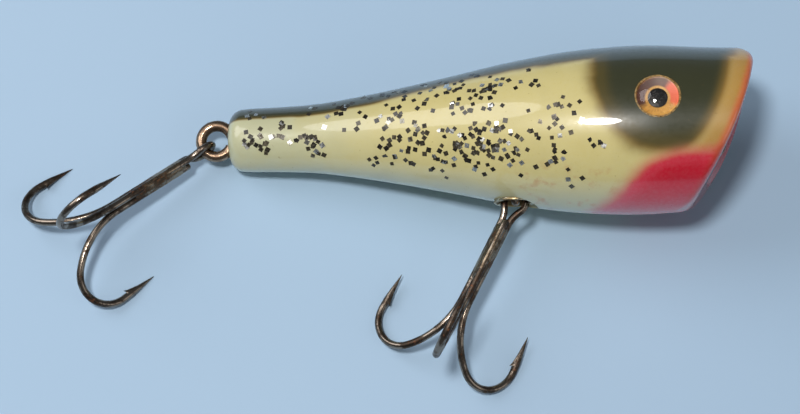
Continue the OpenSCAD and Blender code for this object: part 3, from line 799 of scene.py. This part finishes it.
def metal(name, bright, dull, spots, spot_level, smooth, worn, bump_depth=0.00003):
    """One worn metal: bright where rubbed, dull in patches, spotted where it has gone."""
    finish, tree, shader = new_finish(name)
    place = lure_place(tree)
    worn_by = add(tree, "ShaderNodeGroup", node_tree=wear)
    tree.links.new(place, worn_by.inputs["Place"])
    worn_by.inputs["Spot level"].default_value = spot_level
    along = add(tree, "ShaderNodeAttribute", attribute_name="wire").outputs["Vector"]
    drawn = add(tree, "ShaderNodeMapping", {"Vector": along, "Scale": (1.6, 1.6, 0.14)})
    streaks = cloud(tree, drawn.outputs["Vector"], 2.2, 4.0, 0.6)
    patch = fade(tree, maths(
        tree, "ADD", worn_by.outputs["Dull"], maths(tree, "SUBTRACT", streaks, 0.5)), 0.1, 0.8)
    colour = tint(tree, patch, bright, dull)
    colour = tint(tree, worn_by.outputs["Spots"], colour, spots)
    tree.links.new(colour, shader.inputs["Base Color"])
    tree.links.new(maths(tree, "ADD", fade(tree, patch, 0.0, 1.0, smooth, worn),
                         maths(tree, "MULTIPLY", worn_by.outputs["Spots"], 0.3)),
                   shader.inputs["Roughness"])
    tree.links.new(fade(tree, worn_by.outputs["Spots"], 0.0, 1.0, 1.0, 0.15),
                   shader.inputs["Metallic"])
    height = maths(tree, "ADD", worn_by.outputs["Height"], maths(tree, "MULTIPLY", streaks, 0.4))
    bump = add(tree, "ShaderNodeBump", {"Strength": 0.5, "Distance": bump_depth,
                                        "Height": height})
    tree.links.new(bump.outputs["Normal"], shader.inputs["Normal"])
    return finish


bronze = metal("bronze_wire", shade(172, 146, 122), shade(112, 92, 76), shade(70, 56, 44),
               0.66, 0.2, 0.42)
tie_home = (mouth_home @ Matrix.Translation((-TIE_SINK, -TIE_DROP, 0))
            @ Matrix.Rotation(math.pi, 4, "Z"))
finished(screw_eye_shape(TIE_RING_R, TIE_WIRE_R, 1.2, 9), "line_tie_eye", tie_home, bronze,
         "lure", ["line_tie"])
finished(screw_eye_shape(TAIL_RING_R, TAIL_WIRE_R, 1.6, 11), "tail_eye",
         Matrix.Translation((TAIL_RING_X, 0, 0)), bronze, "lure",
         ["tail_screw_eye"])
ring_home = (Matrix.Translation((BELLY_X, BELLY_RING_R - HANG_DROP, 0))
             @ Matrix(((0, 0, 1), (1, 0, 0), (0, 1, 0))).to_4x4())
finished(screw_eye_shape(BELLY_RING_R, BELLY_WIRE_R, 1.6, 10), "belly_eye", ring_home, bronze,
         "lure", ["belly_screw_eye"])


# ---- Belly cup
# A deep-drawn washer of thin plated brass, with a rolled flange, pressed into its bore. The
# belly screw eye goes down through its floor and holds it.
CUP_BORE_R = 2.6
CUP_WALL = 0.35
CUP_DEPTH = 4.4
FLANGE_R = 3.2


def cup_shape():
    bm = bmesh.new()
    floor = CUP_TOP - CUP_DEPTH
    line = [(BELLY_WIRE_R + 0.02, floor), (CUP_BORE_R - 0.4, floor),
            (CUP_BORE_R - 0.12, floor + 0.1), (CUP_BORE_R, floor + 0.4),
            (CUP_BORE_R, CUP_TOP - 0.3), (CUP_BORE_R + 0.06, CUP_TOP - 0.1),
            (CUP_BORE_R + 0.2, CUP_TOP), (FLANGE_R - 0.14, CUP_TOP),
            (FLANGE_R - 0.03, CUP_TOP - 0.07), (FLANGE_R, CUP_TOP - 0.18),
            (FLANGE_R - 0.03, CUP_TOP - 0.3),
            (FLANGE_R - 0.12, CUP_TOP - 0.35), (CUP_BORE_R + CUP_WALL, CUP_TOP - 0.35),
            (CUP_BORE_R + CUP_WALL, floor), (CUP_BORE_R + 0.1, floor - CUP_WALL),
            (BELLY_WIRE_R + 0.02, floor - CUP_WALL), (BELLY_WIRE_R + 0.02, floor)]
    spun(bm, line, 96)
    return bm


plated = metal("cup_metal", shade(226, 218, 196), shade(150, 132, 96), shade(88, 70, 44),
               0.68, 0.16, 0.38)
finished(cup_shape(), "belly_washer", belly_home, plated, "lure", ["belly_cup"])


# ---- Treble hooks
# Each is a double hook bent from one wire, which makes the eye, and a single hook laid beside
# it. The three shanks are brazed together, the points ground and the barbs cut and raised.
HOOK_R = 0.525
HOOK_OFFSET = 1.22 * HOOK_R
SHANK_LEN = 15.6
WIDE_R, WIDE_TURN = 11.8, 53.0
TIGHT_R, TIGHT_TURN = 4.3, 131.0
POINT_LEN = 5.5
HOOK_EYE_R = 1.55
HOOK_EYE_OPEN = 60
POINT_TAPER = [(4.4, 1.0), (3.6, 0.9), (2.8, 0.74), (2.0, 0.56), (1.3, 0.39), (0.7, 0.24),
               (0.3, 0.15), (0.1, 0.09), (0.0, 0.02)]
BARB_BACK = 4.75


def bend_place(turn):
    if turn <= WIDE_TURN:
        a = math.radians(turn)
        return Vector((SHANK_LEN + WIDE_R * math.sin(a),
                       HOOK_OFFSET + WIDE_R * (1 - math.cos(a)), 0))
    a, b = math.radians(turn), math.radians(WIDE_TURN)
    step = WIDE_R - TIGHT_R
    return Vector((SHANK_LEN + step * math.sin(b) + TIGHT_R * math.sin(a),
                   HOOK_OFFSET + WIDE_R - step * math.cos(b) - TIGHT_R * math.cos(a), 0))


def hook_line(start):
    """Stations of one hook in the XY plane: down the shank along +X and round towards +Y."""
    def station(middle, turn, radius):
        a = math.radians(turn)
        return (middle, Vector((math.cos(a), math.sin(a), 0)),
                Vector((-math.sin(a), math.cos(a), 0)), radius)

    line = [station(Vector((start + (SHANK_LEN - start) * k / 12, HOOK_OFFSET, 0)), 0, HOOK_R)
            for k in range(12)]
    turns = [WIDE_TURN * k / 14 for k in range(14)]
    turns += [WIDE_TURN + TIGHT_TURN * k / 36 for k in range(37)]
    line += [station(bend_place(t), t, HOOK_R) for t in turns]
    end_turn = WIDE_TURN + TIGHT_TURN
    end = line[-1]
    backs = [(BARB_BACK + 0.02, 1.0), (BARB_BACK, 1.0), (BARB_BACK - 0.17, 1.0)] + POINT_TAPER
    for back, share in backs:
        line.append(station(end[0] + end[1] * (POINT_LEN - back), end_turn, HOOK_R * share))
    return line


def turned_about_shank(line, degrees):
    spin = Matrix.Rotation(math.radians(degrees), 3, "X")
    return [(spin @ m, spin @ w, spin @ i, r) for m, w, i, r in line]


def raise_barb(rings, order):
    """Lifts a sliver of the inner side of the point arm, its tip towards the bend."""
    arm = rings[-12:] if order > 0 else rings[11::-1]
    heel, peak = arm[1], arm[2]
    back = (heel[0].co - arm[6][0].co).normalized()
    middle = sum((v.co for v in peak), Vector()) / len(peak)
    lift = (peak[0].co - middle).normalized()
    sides = len(peak)
    for k, share in ((0, 1.0), (1, 0.62), (sides - 1, 0.62)):
        peak[k].co += lift * 0.44 * share + back * 0.42 * share
        heel[k].co += lift * 0.02
    for ring, height in ((arm[3], 0.24), (arm[4], 0.11), (arm[5], 0.02)):
        for k, share in ((0, 1.0), (1, 0.55), (sides - 1, 0.55)):
            ring[k].co += lift * height * share


def single_hook_shape():
    bm = bmesh.new()
    line = hook_line(3.2)
    first = line[0]
    nose = [(first[0] - first[1] * 0.3, first[1], first[2], HOOK_R * 0.35),
            (first[0] - first[1] * 0.22, first[1], first[2], HOOK_R * 0.7),
            (first[0] - first[1] * 0.08, first[1], first[2], HOOK_R * 0.93)]
    raise_barb(swept(bm, nose + line, 24), 1)
    return bm


def double_hook_shape(eye_turn):
    """One wire: point, bend, shank, round the eye, and down the other shank to its point."""
    bm = bmesh.new()
    first = [(m, -w, i, r) for m, w, i, r in reversed(turned_about_shank(hook_line(3.4), 120))]
    second = turned_about_shank(hook_line(3.4), 240)
    plane = Matrix.Rotation(math.radians(90 + eye_turn), 3, "X")
    eye = []
    for k in range(49):
        a = math.radians(HOOK_EYE_OPEN + (360 - 2 * HOOK_EYE_OPEN) * k / 48)
        out = plane @ Vector((math.cos(a), math.sin(a), 0))
        eye.append((out * HOOK_EYE_R, plane @ Vector((-math.sin(a), math.cos(a), 0)), out,
                    HOOK_R))
    rings = swept(bm, first + bent(first[-1], eye[0], 1.0, 8) + eye
                  + bent(eye[-1], second[0], 1.0, 8) + second, 24)
    raise_barb(rings, 1)
    raise_barb(rings, -1)
    return bm


def braze_shape(seed):
    """Brazing run round the three shanks, higher in the grooves and lumpy at its ends."""
    bm = bmesh.new()
    start, end, sides = 3.7, 12.6, 72
    lobe = []
    for k in range(sides):
        a = math.tau * k / sides
        best = 0.0
        for turn in (0, 120, 240):
            d = a - math.radians(turn)
            inside = HOOK_R ** 2 - (HOOK_OFFSET * math.sin(d)) ** 2
            if inside > 0 and math.cos(d) > 0:
                best = max(best, HOOK_OFFSET * math.cos(d) + math.sqrt(inside))
        lobe.append(max(best, 0.93))
    stations = []
    for k in range(41):
        t = k / 40
        stations.append((Vector((start + (end - start) * t, 0, 0)), Vector((1, 0, 0)),
                         Vector((0, 1, 0)), 1.0))
    rings = swept(bm, stations, sides)
    for k, ring in enumerate(rings):
        t = k / 40
        swell = min(1.0, (t + 0.012) / 0.1, (1.012 - t) / 0.22)
        swell = math.sqrt(max(swell, 0.0))
        for n, vert in enumerate(ring):
            rough = noise.noise(Vector((vert.co.x * 0.9, n * 0.35, seed * 5.7)))
            reach = lobe[n] * (0.72 + 0.28 * swell) + (0.035 + 0.045 * rough) * swell - 0.03
            vert.co.y, vert.co.z = vert.co.y * reach, vert.co.z * reach
    return bm


steel = metal("hook_steel", shade(142, 130, 118), shade(72, 62, 54), shade(128, 76, 40),
              0.655, 0.2, 0.4)
brass = metal("braze_metal", shade(146, 130, 110), shade(86, 72, 58), shade(126, 78, 42),
              0.62, 0.24, 0.45, 0.00006)


def treble_home(pivot, heading, reach, rise, roll):
    return (Matrix.Translation(pivot) @ Matrix.Rotation(math.radians(heading), 4, "Z")
            @ Matrix.Translation((reach, 0, 0)) @ Matrix.Rotation(math.radians(-rise), 4, "Y")
            @ Matrix.Rotation(math.radians(roll), 4, "X"))


TAIL_ROLL, BELLY_ROLL = -29.1, 85.7
tail_home = treble_home((TAIL_RING_X, 0, 0), 217, TAIL_RING_R + 0.12, 20.2, TAIL_ROLL)
hang_home = treble_home((BELLY_X, -HANG_DROP, 0), 243, 0.25, 4.1, BELLY_ROLL)
for end, home, eye_turn, seed in (("tail", tail_home, -TAIL_ROLL, 1),
                                  ("belly", hang_home, 90 - BELLY_ROLL, 2)):
    treble = f"{end}_treble"
    finished(double_hook_shape(eye_turn), f"{end}_double_wire", home, steel, treble,
             [f"{end}_double_hook"], sharp_over=50)
    finished(single_hook_shape(), f"{end}_single_wire", home, steel, treble,
             [f"{end}_single_hook"], sharp_over=50)
    finished(braze_shape(seed), f"{end}_brazing", home, brass, treble,
             [f"{end}_braze"], sharp_over=60)


# ---- Eye wires
# The wire stems of the two glass eyes, deep in the wood. Their shape is right as it is.
stem_wire = metal("eye_wire", shade(150, 146, 140), shade(96, 90, 84), shade(112, 70, 40),
                  0.64, 0.3, 0.5)
for hand in ("right", "left"):
    stem = frame["nodes"][f"{hand}_eye_stem"]
    stem.data.materials.clear()
    stem.data.materials.append(stem_wire)


# ---- Table, lights and camera
# A plain pale table top, one soft lamp close above the lens for the long gleam on the lacquer,
# and two wide ones at the sides. The camera looks down on the flank from the belly side.
def pale_table():
    finish, tree, shader = new_finish("pale_table")
    place = add(tree, "ShaderNodeTexCoord").outputs["Object"]
    soft = cloud(tree, place, 9.0, 3.0)
    tree.links.new(tint(tree, soft, (0.42, 0.60, 0.80, 1), (0.48, 0.65, 0.84, 1)),
                   shader.inputs["Base Color"])
    tree.links.new(fade(tree, soft, 0.3, 0.7, 0.75, 0.85), shader.inputs["Roughness"])
    return finish


sheet = bmesh.new()
bmesh.ops.create_grid(sheet, x_segments=8, y_segments=8, size=1.5)
table_mesh = bpy.data.meshes.new("table_top")
sheet.to_mesh(table_mesh)
sheet.free()
table_mesh.materials.append(pale_table())
table = bpy.data.objects.new("table_top", table_mesh)
bpy.context.scene.collection.objects.link(table)

BELLY_SIDE, NOSE_SIDE, LENS_ROLL = math.radians(17.5), math.radians(5), math.radians(1.36)
back_to_lens = Vector((math.sin(NOSE_SIDE), -math.sin(BELLY_SIDE) * math.cos(NOSE_SIDE),
                       math.cos(BELLY_SIDE) * math.cos(NOSE_SIDE)))
level = (Vector((1, 0, 0)) - back_to_lens * back_to_lens.x).normalized()
upright = back_to_lens.cross(level)
right = level * math.cos(LENS_ROLL) - upright * math.sin(LENS_ROLL)
up = level * math.sin(LENS_ROLL) + upright * math.cos(LENS_ROLL)
aim = Vector((24.75, 0, 0)) - upright * 10.28
eyepoint = aim + back_to_lens * 326


level_lie = (Matrix.Translation(tail_face)
             @ Matrix((nose_way, (0, 1, 0), nose_way.cross((0, 1, 0)))).transposed().to_4x4())


def lure_to_table(place, x_way, y_way, z_way):
    """A place and turn given along the lure, but without its roll."""
    seat = Matrix((x_way, y_way, z_way)).transposed().to_4x4()
    return level_lie @ Matrix.Translation(place / 1000) @ seat


camera = bpy.data.objects.new("camera", bpy.data.cameras.new("camera"))
camera.matrix_world = lure_to_table(eyepoint, right, up, back_to_lens)
camera.data.lens = 100.5
camera.data.sensor_width = 36
camera.data.clip_start = 0.01
bpy.context.scene.collection.objects.link(camera)
bpy.context.scene.camera = camera


def lamp(name, way, reach, size, power, colour):
    """A soft lamp that faces the lure from the direction way, in the lure's own frame."""
    data = bpy.data.lights.new(name, "AREA")
    data.shape = "DISK"
    data.size = size
    data.energy = power
    data.color = colour
    made = bpy.data.objects.new(name, data)
    way = way.normalized()
    side = up.cross(way).normalized()
    made.matrix_world = lure_to_table(aim + way * reach, side, way.cross(side), way)
    bpy.context.scene.collection.objects.link(made)


lamp("lamp_over_lens", back_to_lens + up * 0.22 - right * 0.17, 620, 0.09, 2.1, (1.0, 0.97, 0.93))
lamp("wide_left", back_to_lens * 0.8 - right * 0.9 + up * 0.7, 700, 0.5, 1.7, (0.98, 0.98, 1.0))
lamp("wide_right", back_to_lens * 0.8 + right * 1.0 - up * 0.3, 900, 0.6, 0.7, (1.0, 0.98, 0.95))

room = bpy.data.worlds.new("room")
room.use_nodes = True
room.node_tree.nodes["Background"].inputs["Color"].default_value = (0.86, 0.93, 1.0, 1)
room.node_tree.nodes["Background"].inputs["Strength"].default_value = 0.13
bpy.context.scene.world = room
bpy.context.scene.view_settings.view_transform = "Standard"
